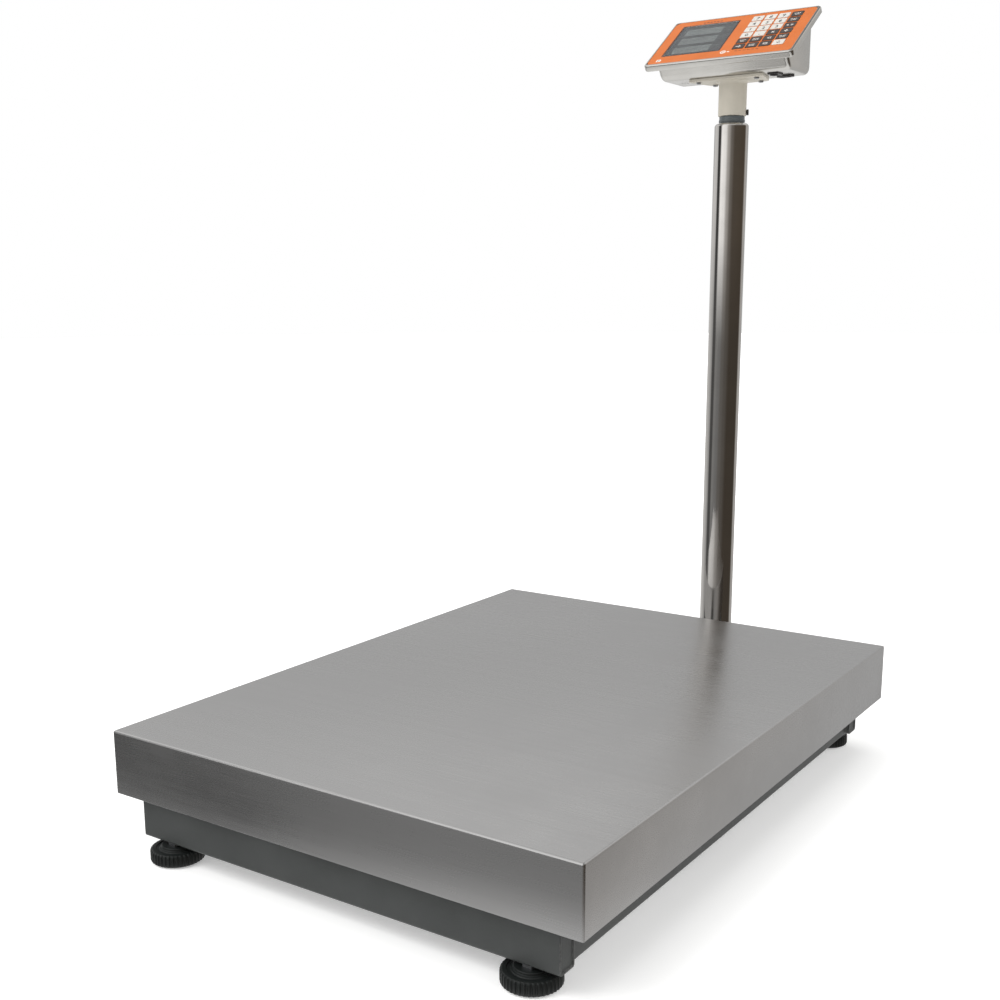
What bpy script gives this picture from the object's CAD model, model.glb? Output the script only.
import math

import bmesh
import bpy
from mathutils import Matrix, Vector


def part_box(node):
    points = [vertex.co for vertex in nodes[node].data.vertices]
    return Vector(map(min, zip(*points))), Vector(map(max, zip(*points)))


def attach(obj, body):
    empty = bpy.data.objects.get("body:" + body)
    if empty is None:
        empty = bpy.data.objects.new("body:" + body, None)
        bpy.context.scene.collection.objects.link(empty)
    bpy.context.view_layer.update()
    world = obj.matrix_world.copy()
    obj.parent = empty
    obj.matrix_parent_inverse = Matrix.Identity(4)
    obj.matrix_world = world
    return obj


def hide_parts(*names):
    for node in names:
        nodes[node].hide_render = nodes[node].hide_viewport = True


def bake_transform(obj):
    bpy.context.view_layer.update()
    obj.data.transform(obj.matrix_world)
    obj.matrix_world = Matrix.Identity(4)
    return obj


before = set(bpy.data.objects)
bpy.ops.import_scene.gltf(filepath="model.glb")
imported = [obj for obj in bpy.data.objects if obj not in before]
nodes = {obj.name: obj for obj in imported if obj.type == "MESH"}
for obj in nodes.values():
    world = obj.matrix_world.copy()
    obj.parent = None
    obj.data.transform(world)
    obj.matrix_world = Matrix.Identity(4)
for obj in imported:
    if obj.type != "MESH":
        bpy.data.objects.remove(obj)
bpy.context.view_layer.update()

hair, sliver = 0.0001, 0.00001  # how near counts as level, on metal and on film

# ---- Base frame ----
# Two end tubes and two side tubes of 50 x 25 mm mild steel, with a wider tube across them under the
# load cell. They are cut square, welded in a jig, capped at the open ends and sprayed satin dark grey.


def deselect():
    """Leaves nothing selected and no object open"""
    if bpy.context.object and bpy.context.object.mode != "OBJECT":
        bpy.ops.object.mode_set(mode="OBJECT")
    bpy.ops.object.select_all(action="DESELECT")


def box_piece(name, low, high):
    """A block between two corners, open for editing, with its place in its mesh"""
    deselect()
    low, high = Vector(low), Vector(high)
    bpy.ops.mesh.primitive_cube_add(size=1, location=(low + high) / 2)
    piece = bpy.context.object
    piece.name = name
    piece.scale = high - low
    bpy.ops.object.transform_apply(location=True, rotation=True, scale=True)
    bpy.ops.object.mode_set(mode="EDIT")
    return piece


def pick(kind, rule):
    """Selects the open piece's vertices, edges or faces that obey rule(middle, element)"""
    bpy.ops.mesh.select_mode(type=kind)
    bpy.ops.mesh.select_all(action="DESELECT")
    mesh = bmesh.from_edit_mesh(bpy.context.object.data)
    for element in {"VERT": mesh.verts, "EDGE": mesh.edges, "FACE": mesh.faces}[kind]:
        if kind == "VERT":
            middle = element.co
        else:
            middle = sum((v.co for v in element.verts), Vector()) / len(element.verts)
        if rule(middle, element):
            element.select_set(True)
    mesh.select_flush_mode()
    bmesh.update_edit_mesh(bpy.context.object.data)


def round_off(offset, segments, rule):
    """Bevels the open piece's edges that obey rule(middle, edge)"""
    pick("EDGE", rule)
    bpy.ops.mesh.bevel(offset=offset, segments=segments)


def inset(thickness, depth=0):
    """Draws the picked faces in, and raises or sinks them"""
    bpy.ops.mesh.inset(thickness=thickness, depth=depth)


def draw_out(x, y, z):
    """Extrudes the picked faces by a distance"""
    bpy.ops.mesh.extrude_region_move(TRANSFORM_OT_translate={"value": (x, y, z)})


def runs_along(edge, axis):
    """True if an edge lies along X, Y or Z (0, 1 or 2)"""
    run = edge.verts[1].co - edge.verts[0].co
    return abs(run[axis]) > 0.99 * run.length


def close_up(piece, smooth=35):
    """Closes a piece after editing, with its faces outwards and its smooth shading set"""
    bpy.ops.object.mode_set(mode="EDIT")
    bpy.ops.mesh.select_all(action="SELECT")
    bpy.ops.mesh.normals_make_consistent(inside=False)
    bpy.ops.object.mode_set(mode="OBJECT")
    bpy.ops.object.shade_smooth_by_angle(angle=math.radians(smooth))
    return piece


def join(name, pieces):
    """Makes one piece of several"""
    deselect()
    for piece in pieces:
        piece.select_set(True)
    bpy.context.view_layer.objects.active = pieces[0]
    bpy.ops.object.join()
    pieces[0].name = name
    pieces[0].data.name = name
    return pieces[0]


def copy_of(piece, name, matrix):
    """A copy with a mesh of its own, moved by a matrix that is applied to the mesh"""
    twin = piece.copy()
    twin.data = piece.data.copy()
    twin.name = twin.data.name = name
    bpy.context.scene.collection.objects.link(twin)
    twin.data.transform(matrix)
    if matrix.determinant() < 0:
        twin.data.flip_normals()
    return twin


def steel_tube(name, low, high, axis):
    """A welded box tube with rolled corners and a cap set into each end"""
    corner, wall, sunk = 0.003, 0.002, 0.0012
    tube = box_piece(name, low, high)
    round_off(corner, 4, lambda m, e: runs_along(e, axis))
    pick("FACE", lambda m, f: abs(f.normal[axis]) > 0.99)
    inset(wall)
    inset(0.0003, -sunk)
    close_up(tube)
    return tube


def group(name, inputs, outputs):
    """An empty shader node group with its sockets, and its input and output nodes"""
    tree = bpy.data.node_groups.new(name, "ShaderNodeTree")
    kinds = {"value": "NodeSocketFloat", "colour": "NodeSocketColor", "vector": "NodeSocketVector"}
    for label, kind, start in inputs:
        socket = tree.interface.new_socket(name=label, in_out="INPUT", socket_type=kinds[kind])
        socket.default_value = start
    for label, kind in outputs:
        tree.interface.new_socket(name=label, in_out="OUTPUT", socket_type=kinds[kind])
    return tree, tree.nodes.new("NodeGroupInput"), tree.nodes.new("NodeGroupOutput")


def wire(tree, source, target):
    """Joins (node, output) to (node, input)"""
    tree.links.new(source[0].outputs[source[1]], target[0].inputs[target[1]])


def sums(tree, operation, first, second=None, third=None, clamp=False):
    """A Math node on values or on (node, output) pairs"""
    node = tree.nodes.new("ShaderNodeMath")
    node.operation = operation
    node.use_clamp = clamp
    for slot, given in enumerate((first, second, third)):
        if isinstance(given, tuple):
            wire(tree, given, (node, slot))
        elif given is not None:
            node.inputs[slot].default_value = given
    return (node, 0)


def spread(tree, source, from_low, from_high, to_low, to_high):
    """A clamped Map Range node"""
    node = tree.nodes.new("ShaderNodeMapRange")
    wire(tree, source, (node, "Value"))
    for label, given in zip(("From Min", "From Max", "To Min", "To Max"),
                            (from_low, from_high, to_low, to_high)):
        if isinstance(given, tuple):
            wire(tree, given, (node, label))
        else:
            node.inputs[label].default_value = given
    return (node, "Result")


def times(colour, by):
    """A colour made lighter or darker"""
    return tuple(c * by for c in colour)


def blend_colour(tree, factor, first, second):
    """A Mix node on two colours"""
    node = tree.nodes.new("ShaderNodeMix")
    node.data_type = "RGBA"
    wire(tree, factor, (node, "Factor"))
    for label, given in (("A", first), ("B", second)):
        socket = [s for s in node.inputs if s.name == label and s.type == "RGBA"][0]
        if isinstance(given, tuple) and len(given) == 2:
            tree.links.new(given[0].outputs[given[1]], socket)
        else:
            socket.default_value = (*given, 1)
    return (node, 2)


def noise(tree, place, scale, detail=2.0, rough=0.5):
    """A Noise Texture on a place in metres"""
    node = tree.nodes.new("ShaderNodeTexNoise")
    wire(tree, place, (node, "Vector"))
    for label, given in (("Scale", scale), ("Detail", detail), ("Roughness", rough)):
        if isinstance(given, tuple):
            wire(tree, given, (node, label))
        else:
            node.inputs[label].default_value = given
    return (node, "Fac")


def place_in(tree):
    """The Object coordinates, in metres"""
    return (tree.nodes.new("ShaderNodeTexCoord"), "Object")


def edge_wear_group():
    """A mask of worn, rubbed edges: where the rounded normal leaves the face's, broken up by noise"""
    tree, given, result = group("edge_wear", [("Width", "value", 0.001), ("Amount", "value", 1.0)],
                                [("Mask", "value"), ("Rounded", "vector")])
    rounded = tree.nodes.new("ShaderNodeBevel")
    rounded.samples = 4
    wire(tree, (given, "Width"), (rounded, "Radius"))
    face = tree.nodes.new("ShaderNodeNewGeometry")
    turn = tree.nodes.new("ShaderNodeVectorMath")
    turn.operation = "DOT_PRODUCT"
    wire(tree, (rounded, "Normal"), (turn, 0))
    wire(tree, (face, "Normal"), (turn, 1))
    edge = spread(tree, (turn, "Value"), 0.995, 0.86, 0, 1)
    broken = spread(tree, noise(tree, place_in(tree), 160, 5, 0.6), 0.42, 0.62, 0, 1)
    mask = sums(tree, "MULTIPLY", sums(tree, "MULTIPLY", edge, broken), (given, "Amount"), clamp=True)
    wire(tree, mask, (result, "Mask"))
    wire(tree, (rounded, "Normal"), (result, "Rounded"))
    return tree


def grime_group():
    """Soft stains and specks that every handled surface has"""
    tree, given, result = group("grime", [("Scale", "value", 12.0)],
                                [("Stain", "value"), ("Speck", "value")])
    place = place_in(tree)
    stain = noise(tree, place, (given, "Scale"), 6, 0.62)
    wire(tree, spread(tree, stain, 0.35, 0.75, 0, 1), (result, "Stain"))
    wire(tree, spread(tree, noise(tree, place, 1400, 2), 0.66, 0.78, 0, 1), (result, "Speck"))
    return tree


def finish(name, colour, metallic, roughness):
    """A new material with its Principled shader set. The CAD's plain one gives up its name"""
    if name in bpy.data.materials:
        bpy.data.materials[name].name = name + "_plain"
    material = bpy.data.materials.new(name)
    material.use_nodes = True
    shader = material.node_tree.nodes["Principled BSDF"]
    shader.inputs["Base Color"].default_value = (*colour, 1)
    shader.inputs["Metallic"].default_value = metallic
    shader.inputs["Roughness"].default_value = roughness
    return material, material.node_tree, shader


def use_group(tree, name, **values):
    """Places a shared node group in a material with its own values"""
    node = tree.nodes.new("ShaderNodeGroup")
    node.node_tree = bpy.data.node_groups[name]
    for label, given in values.items():
        node.inputs[label].default_value = given
    return node


def stained(name, colour, metallic, roughness, scale, light=1.0, dark=0.9):
    """A new material whose colour follows its stains. Gives it with its tree, shader, stains and tone"""
    material, tree, shader = finish(name, colour, metallic, roughness)
    stain = (use_group(tree, "grime", Scale=scale), "Stain")
    tone = blend_colour(tree, stain, times(colour, light), times(colour, dark))
    return material, tree, shader, stain, tone


def roughen(tree, shader, source, low, high):
    """Roughness that follows a value between 0 and 1"""
    wire(tree, spread(tree, source, 0, 1, low, high), (shader, "Roughness"))


def bump(tree, shader, height, depth, strength=1.0, normal=None):
    """A Bump node whose height is in metres"""
    node = tree.nodes.new("ShaderNodeBump")
    node.inputs["Distance"].default_value = depth
    node.inputs["Strength"].default_value = strength
    wire(tree, height, (node, "Height"))
    if normal:
        wire(tree, normal, (node, "Normal"))
    wire(tree, (node, "Normal"), (shader, "Normal"))
    return (node, "Normal")


def wear(piece, material):
    """Puts a material on the whole of a piece or of a CAD node"""
    piece.data.materials.clear()
    piece.data.materials.append(material)
    return piece


edge_wear_group()
grime_group()


def sprayed_paint(name, colour, bare):
    """Satin spray paint with a fine orange peel, dust on what faces up and rubbed edges"""
    material, tree, shader, stain, tone = stained(name, colour, 0.0, 0.42, 9.0, 0.86, 1.16)
    place = place_in(tree)
    edges = use_group(tree, "edge_wear", Width=0.0016, Amount=0.9)
    geometry = tree.nodes.new("ShaderNodeNewGeometry")
    facing = tree.nodes.new("ShaderNodeSeparateXYZ")
    wire(tree, (geometry, "Normal"), (facing, 0))
    upward = spread(tree, (facing, 2), 0.3, 1.0, 0, 0.34)
    dusty = sums(tree, "MULTIPLY", upward, noise(tree, place, 35, 5))
    tone = blend_colour(tree, dusty, tone, (0.34, 0.33, 0.31))
    tone = blend_colour(tree, (edges, "Mask"), tone, bare)
    wire(tree, tone, (shader, "Base Color"))
    wire(tree, (edges, "Mask"), (shader, "Metallic"))
    roughen(tree, shader, stain, 0.36, 0.52)
    bump(tree, shader, noise(tree, place, 620, 2), 0.00008, 0.6, (edges, "Rounded"))
    return material


frame_paint = sprayed_paint("frame_paint", (0.054, 0.058, 0.057), (0.30, 0.30, 0.30))

beam_wide, cross_wide = 0.025, 0.060
side_step = 0.004
cell_low, cell_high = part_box("load_cell")
base_low, base_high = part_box("base_frame")
base_top = base_low.z + 0.050
ends = ((base_low.y, base_low.y + beam_wide), (base_high.y - beam_wide, base_high.y))
tubes = []
for front, back in ends:
    tubes.append(steel_tube("end_tube", (base_low.x, front, base_low.z),
                            (base_high.x, back, base_top), 0))
inner_front, inner_back = ends[0][1] - 0.0004, ends[1][0] + 0.0004
side_tubes_x = (base_low.x + side_step, base_high.x - side_step - beam_wide)
for left in side_tubes_x:
    tubes.append(steel_tube("side_tube", (left, inner_front, base_low.z),
                            (left + beam_wide, inner_back, base_top), 1))
seat_low, seat_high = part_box("cell_bolts_lower")
cross_y = (seat_low.y + seat_high.y) / 2
cross_ends = (side_tubes_x[0] + beam_wide - 0.0004, side_tubes_x[1] + 0.0004)
tubes.append(steel_tube("cross_tube", (cross_ends[0], cross_y - cross_wide / 2, base_low.z),
                        (cross_ends[1], cross_y + cross_wide / 2, base_top), 0))
seat_half = 0.020
seat = box_piece("cell_seat", (cell_low.x, cross_y - seat_half, base_top - 0.002),
                 (cell_high.x, cross_y + seat_half, cell_low.z))
round_off(0.0006, 2, lambda m, e: runs_along(e, 2) or m.z > base_top + 0.001)
tubes.append(close_up(seat))


def turned(name, outline, sides, centre=(0, 0)):
    """A round piece: its outline of (radius, height) points is drawn ring by ring round a vertical axis.
    An outline that ends where it starts makes a hollow ring; any other is closed with a flat face"""
    deselect()
    radius, height = outline[0]
    bpy.ops.mesh.primitive_circle_add(vertices=sides, radius=radius, location=(*centre, height))
    piece = bpy.context.object
    piece.name = name
    bpy.ops.object.transform_apply(location=True, rotation=True, scale=True)
    bpy.ops.object.mode_set(mode="EDIT")
    bpy.ops.mesh.select_mode(type="EDGE")
    bpy.ops.mesh.select_all(action="SELECT")
    ring = outline[0] == outline[-1]
    if not ring:
        bpy.ops.mesh.edge_face_add()
        bpy.ops.mesh.select_mode(type="EDGE")
        pick("EDGE", lambda m, e: True)
    for (r0, z0), (r1, z1) in zip(outline, outline[1:]):
        bpy.ops.mesh.extrude_edges_move(TRANSFORM_OT_translate={"value": (0, 0, z1 - z0)})
        if abs(r1 - r0) > 1e-7:
            bpy.ops.transform.resize(value=(r1 / r0, r1 / r0, 1), center_override=(*centre, z1))
    if ring:
        bpy.ops.mesh.select_all(action="SELECT")
        bpy.ops.mesh.remove_doubles(threshold=0.000002)
    else:
        bpy.ops.mesh.edge_face_add()
    close_up(piece)
    return piece


def profile(radius, height, steps):
    """Points of an outline, given in millimetres from a radius and a height in metres"""
    return [(radius + r / 1000, height + z / 1000) for r, z in steps]


# Weld beads: one rippled run, copied to both ends of every joint
ripples, bead_radius, bead_long = 22, 0.0024, 0.046
outline = [(bead_radius * 0.35, 0.0)]
for step in range(ripples):
    swell = bead_radius * (0.93 if step % 2 else 1.0)
    outline.append((swell, bead_long * (step + 0.5) / ripples))
outline.append((bead_radius * 0.35, bead_long))
bead = turned("weld_bead", outline, 10)
beads = []
for x in side_tubes_x:
    for face_x in (x + 0.0005, x + beam_wide - 0.0005):
        for y in (ends[0][1] + 0.0003, ends[1][0] - 0.0003):
            beads.append(copy_of(bead, "weld_bead", Matrix.Translation((face_x, y, base_low.z + 0.002))))
for x in cross_ends:
    for y in (cross_y - cross_wide / 2, cross_y + cross_wide / 2):
        beads.append(copy_of(bead, "weld_bead", Matrix.Translation((x, y, base_low.z + 0.002))))
bpy.data.objects.remove(bead)
base_tubes = join("base_tubes", tubes + beads)
wear(base_tubes, frame_paint)
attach(base_tubes, "base")
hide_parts("base_frame")

# ---- Load cell and its bolts ----
# A single-point cell milled from an aluminium bar, anodised clear, with two joined bores that let it
# flex. Two zinc-plated bolts hold each end, and a moulded cover seals the gauges in the bores.


def brushed_group():
    """Fine lines left by abrasive belts. They run along X or Y on flat tops, and level on sides"""
    tree, given, result = group("brushed", [("Along X", "value", 0.0), ("Fineness", "value", 1500.0)],
                                [("Lines", "value"), ("Bands", "value")])
    place = place_in(tree)
    geometry = tree.nodes.new("ShaderNodeNewGeometry")
    facing = tree.nodes.new("ShaderNodeSeparateXYZ")
    wire(tree, (geometry, "Normal"), (facing, 0))
    front = sums(tree, "GREATER_THAN", sums(tree, "ABSOLUTE", (facing, 1)), 0.7)
    level = sums(tree, "MAXIMUM", front, (given, "Along X"))
    parts = tree.nodes.new("ShaderNodeSeparateXYZ")
    wire(tree, place, (parts, 0))
    for label, detail, scale in (("Lines", 3, (given, "Fineness")), ("Bands", 2, 90.0)):
        stretched = tree.nodes.new("ShaderNodeCombineXYZ")
        for axis in (0, 1):
            keep = level if axis == 0 else sums(tree, "SUBTRACT", 1, level)
            squeeze = sums(tree, "SUBTRACT", 1, sums(tree, "MULTIPLY", keep, 0.992))
            wire(tree, sums(tree, "MULTIPLY", (parts, axis), squeeze), (stretched, axis))
        wire(tree, (parts, 2), (stretched, 2))
        wire(tree, noise(tree, (stretched, 0), scale, detail, 0.6), (result, label))
    return tree


brushed_group()


def plated_steel(name, colour, roughness):
    """Zinc or nickel plate: patchy, a little clouded, brighter on its rubbed edges"""
    material, tree, shader, stain, tone = stained(name, colour, 1.0, roughness, 110.0, 1.0, 0.72)
    edges = use_group(tree, "edge_wear", Width=0.0005, Amount=0.8)
    tone = blend_colour(tree, (edges, "Mask"), tone, (0.82, 0.82, 0.80))
    wire(tree, tone, (shader, "Base Color"))
    roughen(tree, shader, stain, roughness * 0.8, roughness * 1.5)
    bump(tree, shader, noise(tree, place_in(tree), 1800, 3), 0.00003, 0.5, (edges, "Rounded"))
    return material


def milled_aluminium(name, colour):
    """Clear-anodised aluminium with the cutter's lines"""
    material, tree, shader, _, tone = stained(name, colour, 1.0, 0.34, 40.0, 1.0, 0.85)
    edges = use_group(tree, "edge_wear", Width=0.0008, Amount=0.5)
    lines = use_group(tree, "brushed", Fineness=1100.0)
    wire(tree, tone, (shader, "Base Color"))
    wire(tree, spread(tree, (lines, "Lines"), 0.3, 0.7, 0.27, 0.45), (shader, "Roughness"))
    bump(tree, shader, (lines, "Lines"), 0.00003, 0.7, (edges, "Rounded"))
    return material


def moulded_plastic(name, colour, roughness, grain=900.0, worn=1.35):
    """Injection-moulded plastic: fine spark texture, faint flow marks, polished edges"""
    material, tree, shader, stain, tone = stained(name, colour, 0.0, roughness, 45.0)
    edges = use_group(tree, "edge_wear", Width=0.0006, Amount=0.5)
    tone = blend_colour(tree, (edges, "Mask"), tone, tuple(min(c * worn + 0.012, 1) for c in colour))
    wire(tree, tone, (shader, "Base Color"))
    roughen(tree, shader, stain, roughness * 0.9, roughness * 1.25)
    bump(tree, shader, noise(tree, place_in(tree), grain, 3), 0.00005, 0.5, (edges, "Rounded"))
    return material


cell_aluminium = milled_aluminium("cell_aluminium", (0.60, 0.61, 0.62))
zinc_steel = plated_steel("zinc_steel", (0.56, 0.57, 0.59), 0.30)
for name in ("cell_bolts_lower", "cell_bolts_upper", "stop_screws", "foot_lock_nuts",
             "bracket_bolts", "neck_screws"):
    wear(nodes[name], zinc_steel)


def cut_away(piece, cutters):
    """Takes closed shapes out of a piece"""
    cutter = join("cutter", cutters)
    deselect()
    bpy.context.view_layer.objects.active = piece
    piece.select_set(True)
    cut = piece.modifiers.new("cut", "BOOLEAN")
    cut.operation, cut.solver, cut.object = "DIFFERENCE", "EXACT", cutter
    bpy.ops.object.modifier_apply(modifier=cut.name)
    bpy.data.objects.remove(cutter)
    bpy.ops.object.shade_smooth_by_angle(angle=math.radians(30))


cell_middle = (cell_low + cell_high) / 2
gauge_hole, hole_apart, slot_tall, grip = 0.016, 0.017, 0.012, 0.042
cell_body = box_piece("cell_body", cell_low, cell_high)
bpy.ops.mesh.bevel(offset=0.0005, segments=2)
close_up(cell_body)
past = (cell_high.x - cell_low.x) / 2 + 0.001
drill = turned("gauge_hole", [(gauge_hole, -past), (gauge_hole, past)], 64, (0, 0))
across = Matrix.Rotation(math.pi / 2, 4, "Y")
bores = [Matrix.Translation(cell_middle + Vector((0, s * hole_apart, 0))) @ across for s in (-1, 1)]
cut_away(cell_body, [copy_of(drill, "gauge_hole", place) for place in bores])
bpy.data.objects.remove(drill)
slot_half = Vector((past, gauge_hole, slot_tall / 2))
gauge_slot = box_piece("gauge_slot", cell_middle - slot_half, cell_middle + slot_half)
cut_away(cell_body, [close_up(gauge_slot)])
bend_start = Vector((cell_middle.x, cell_low.y + grip, cell_middle.z))
bend_end = Vector((cell_middle.x, cell_high.y - grip, cell_middle.z))
deselect()
bpy.context.view_layer.objects.active = cell_body
bpy.ops.object.mode_set(mode="EDIT")
for step in range(9):
    bpy.ops.mesh.select_all(action="SELECT")
    bpy.ops.mesh.bisect(plane_co=bend_start.lerp(bend_end, step / 8), plane_no=(0, 1, 0))
close_up(cell_body)
wear(cell_body, cell_aluminium)
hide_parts("load_cell")
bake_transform(cell_body)

switch_plastic = moulded_plastic("switch_plastic", (0.016, 0.016, 0.017), 0.36)
cover_half, cover_tall, cover_thick = 0.034, 0.019, 0.0022
cover_low = (cell_high.x - 0.0003, cell_middle.y - cover_half, cell_middle.z - cover_tall / 2)
cover_high = (cell_high.x + cover_thick, cell_middle.y + cover_half, cell_middle.z + cover_tall / 2)
cover = box_piece("gauge_cover", cover_low, cover_high)
round_off(0.009, 8, lambda m, e: runs_along(e, 0))
pick("FACE", lambda m, f: f.normal.x > 0.9)
inset(0.0016)
inset(0.0007, -0.0006)
round_off(0.0004, 2, lambda m, e: m.x > cell_high.x + cover_thick - hair and len(e.link_faces) == 2
     and abs(e.link_faces[0].normal.dot(e.link_faces[1].normal)) < 0.5)
wear(close_up(cover), switch_plastic)
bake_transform(cover)

# ---- Levelling feet ----
# A black nylon hand wheel with forty ribs, moulded round the head of a zinc-plated M10 stud, that
# turns on a pressed-in sole. The lock nut above it jams against the frame.

foot_plastic = moulded_plastic("foot_plastic", (0.012, 0.0145, 0.0138), 0.42, 700.0, 2.2)
rubber_black = moulded_plastic("rubber_black", (0.018, 0.018, 0.018), 0.72, 500.0)
feet = ("front_left", "front_right", "rear_left", "rear_right")
ribs, facets = 40, 6
rib_sink = 0.0013
wheel_low, wheel_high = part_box("foot_front_left")
wheel_radius = (wheel_high.x - wheel_low.x) / 2
wheel_middle = (wheel_low + wheel_high) / 2
rim_low, rim_high = wheel_low.z, wheel_low.z + 0.0138
axis_at = (wheel_middle.x, wheel_middle.y)
sole_low, sole_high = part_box("foot_sole_front_left")
sole_radius = (sole_high.x - sole_low.x) / 2
stud_radius = 0.005
top = wheel_high.z
turns, pitch, deep = 27, 0.0015, 0.00075
outline = profile(sole_radius, rim_low, [(0.5, 1.8), (0.5, 0.4), (1.1, 0)])
outline += profile(wheel_radius, rim_low, [(-2.0, 0), (-0.6, 0.6), (0, 2.1)])
outline += profile(wheel_radius, rim_high, [(0, -2.6), (-0.5, -1.0), (-2.2, 0), (-6.2, 0), (-6.8, -0.9),
                                            (-9.6, -0.9), (-10.3, 0)])
outline += profile(0, rim_high, [(18.2, 0.3), (17.4, 0.9), (17.2, 2.6), (16.6, 3.2), (7.0, 3.2),
                                 (6.6, 2.6)])
wheel = turned("foot_wheel", outline, ribs * facets, axis_at)
bpy.ops.object.mode_set(mode="EDIT")
half_pitch = math.pi / ribs


def in_groove(middle, vertex):
    """The ring's corners that lie in a groove between two ribs"""
    x, y = middle.x - axis_at[0], middle.y - axis_at[1]
    turn = (math.atan2(y, x) - math.pi / 2) % (2 * half_pitch)
    off = abs(turn - half_pitch)
    return math.hypot(x, y) > wheel_radius - 0.0008 and off < half_pitch * 0.45


pick("VERT", in_groove)
sunk = (wheel_radius - rib_sink) / wheel_radius
bpy.ops.transform.resize(value=(sunk, sunk, 1), center_override=(axis_at[0], axis_at[1], rim_low))
close_up(wheel, 24)
outline = [(0.0018, 0.008), (stud_radius - deep, 0.008), (stud_radius - deep, rim_high + 0.002)]
for turn in range(turns):
    base = rim_high + 0.004 + turn * pitch
    outline += [(stud_radius - deep, base), (stud_radius, base + pitch / 2)]
outline += [(stud_radius - deep, rim_high + 0.004 + turns * pitch), (0.0034, top)]
stud = turned("foot_stud", outline, 24, axis_at)
outline = [(sole_radius * 0.25, sole_low.z)]
for near, far in ((0.34, 0.42), (0.50, 0.58), (0.66, 0.74)):
    outline += profile(sole_radius * near, sole_low.z, [(0, 0), (0, 0.8)])
    outline += profile(sole_radius * far, sole_low.z, [(0, 0.8), (0, 0)])
outline.append((sole_radius * 0.95, sole_low.z))
outline += profile(sole_radius, sole_low.z, [(0, 1.0), (0, 3.6), (-0.6, 4.0)])
sole = turned("sole", outline, 64, axis_at)
for corner in feet:
    low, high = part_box("foot_" + corner)
    away = (low + high) / 2 - wheel_middle
    shift = Matrix.Translation((away.x, away.y, 0))
    for source, word, material in ((wheel, "wheel", foot_plastic), (stud, "stud", zinc_steel),
                                   (sole, "sole", rubber_black)):
        piece = wear(copy_of(source, "foot_" + word + "_" + corner, shift), material)
        if word == "sole":
            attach(piece, "sole_" + corner)
            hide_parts("foot_sole_" + corner)
        else:
            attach(piece, "foot_" + corner)
        if word == "wheel":
            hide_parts("foot_" + corner)
for source in (wheel, stud, sole):
    bpy.data.objects.remove(source)

# ---- Weighing frame ----
# A welded frame of 50 x 20 mm and 40 x 20 mm tube that bolts to the free end of the load cell and
# carries the tray on rubber pads. It is sprayed the same grey as the base.

wear(nodes["weighing_frame"], frame_paint)
wear(nodes["tray_pads"], rubber_black)

# ---- Tray ----
# One sheet of 1.5 mm stainless, belt-ground to a satin finish, with its four sides folded down and a
# narrow return along the lower edge. The joint at each corner is welded and ground flush.


def ground_stainless(name, colour, roughness, along_x, fineness, cloud):
    """Belt-ground stainless: fine lines, broad soft clouds, finger marks and rubbed edges"""
    material, tree, shader = finish(name, colour, 1.0, roughness)
    lines = use_group(tree, "brushed", Fineness=fineness)
    lines.inputs["Along X"].default_value = along_x
    dirt = use_group(tree, "grime", Scale=cloud)
    tone = blend_colour(tree, (lines, "Bands"), times(colour, 0.96), times(colour, 1.03))
    tone = blend_colour(tree, sums(tree, "MULTIPLY", (dirt, "Stain"), 0.22), tone, times(colour, 0.82))
    wire(tree, tone, (shader, "Base Color"))
    fine = spread(tree, (lines, "Lines"), 0.3, 0.7, -0.03, 0.04)
    soft = spread(tree, (dirt, "Stain"), 0, 1, roughness - 0.03, roughness + 0.07)
    wire(tree, sums(tree, "ADD", fine, soft), (shader, "Roughness"))
    bump(tree, shader, (lines, "Lines"), 0.000004, 0.4)
    return material


tray_steel = ground_stainless("tray_steel", (0.56, 0.555, 0.55), 0.27, 1.0, 1500.0, 5.0)
tray_low, tray_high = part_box("tray")
sheet, fold, hem = 0.0015, 0.0024, 0.0055
tray_middle, half = (tray_low + tray_high) / 2, (tray_high - tray_low) / 2
inner_half, roof = half - Vector((sheet, sheet, 0)), tray_high.z - sheet
tray = box_piece("weighing_tray", tray_low, tray_high)
pick("FACE", lambda m, f: f.normal.z < -0.99)
inset(hem)
draw_out(0, 0, sheet)
draw_out(0, 0, 0)
bpy.ops.transform.resize(value=(inner_half.x / (half.x - hem), inner_half.y / (half.y - hem), 1),
                         center_override=tray_middle)
draw_out(0, 0, roof - tray_low.z - sheet)
round_off(fold, 6, lambda m, e: runs_along(e, 2) and abs(m.x) > inner_half.x + hair
     or m.z > tray_high.z - hair)
round_off(fold - sheet, 3, lambda m, e: m.z > tray_low.z + sheet + hair
          and abs(abs(m.x) - inner_half.x) < hair
     and runs_along(e, 2) or abs(m.z - roof) < hair)
round_off(0.0004, 3, lambda m, e: m.z < tray_low.z + hair
          and any(abs(f.normal.z) < 0.5 for f in e.link_faces))
close_up(tray, 40)
wear(tray, tray_steel)
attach(tray, "tray")
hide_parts("tray")

# ---- Column ----
# A bracket of folded and welded steel, painted like the base and bolted to its rear tube, holds the
# foot of the column: a 48 mm tube of polished stainless with its top edge rolled in.

wear(nodes["column_bracket"], frame_paint)


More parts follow.
